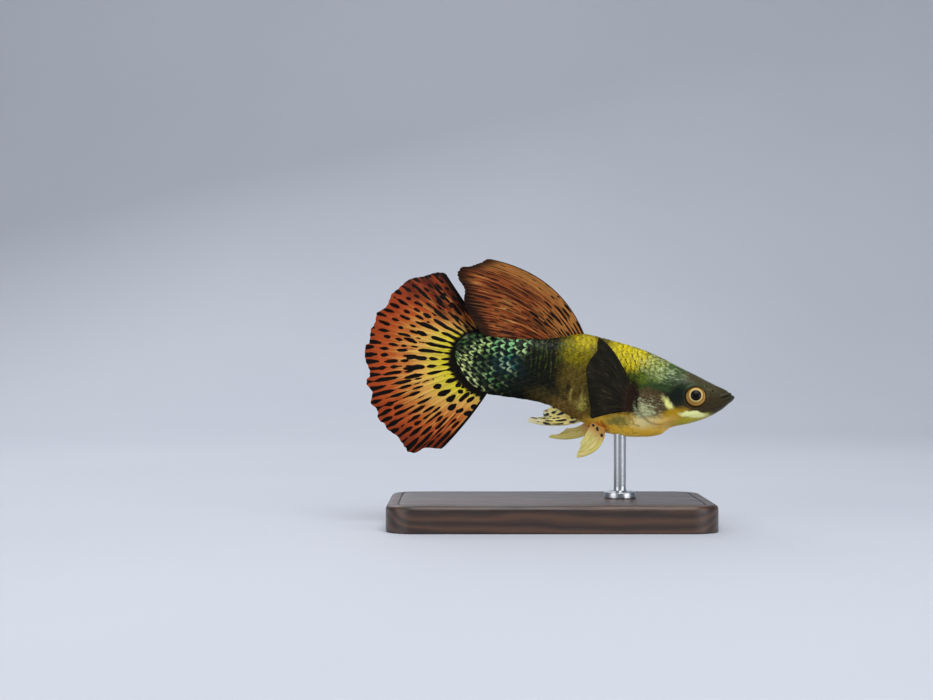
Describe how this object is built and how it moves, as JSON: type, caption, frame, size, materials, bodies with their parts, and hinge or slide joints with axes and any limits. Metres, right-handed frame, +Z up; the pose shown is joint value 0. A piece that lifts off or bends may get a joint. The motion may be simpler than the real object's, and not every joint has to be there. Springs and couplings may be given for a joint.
{
  "type": "fancy guppy display model",
  "caption": "Male fancy guppy in a swimming pose with spread dorsal and fan tail fins, fixed on a slim rod over a flat display base.",
  "frame": {"origin": "middle of the underside of the display base", "axes": "+X towards the fish's nose, +Y towards its left side, +Z up"},
  "size_m": [0.0389, 0.02, 0.0281],
  "materials": {
    "head_skin": "dark olive snout, green and silver cheek, moist gloss",
    "trunk_skin": "yellow back, brown flank and pale gold belly, moist gloss",
    "stalk_skin": "near black with bright green scale rims, moist gloss",
    "iris": "golden iris round a black pupil, high gloss",
    "black_membrane": "black fin with fine rays",
    "sail_membrane": "rust brown fin, streaked along its rays",
    "fan_membrane": "yellow to orange fin with black dashes along its rays",
    "pale_membrane": "pale yellow fin with a few black blotches",
    "dark_wood": "dark oiled hardwood",
    "steel": "satin"
  },
  "bodies": {
    "root": {"head": "head_skin", "torso": "trunk_skin", "tail_stalk": "stalk_skin", "eye_right": "iris", "eye_left": "iris", "dorsal_fin": "sail_membrane", "caudal_fin": "fan_membrane", "anal_fin": "pale_membrane", "pelvic_fin_right": "pale_membrane", "pelvic_fin_left": "pale_membrane", "pectoral_fin_right": "black_membrane", "pectoral_fin_left": "black_membrane", "stand_base": "dark_wood", "stand_rod": "steel"}
  },
  "joints": []
}
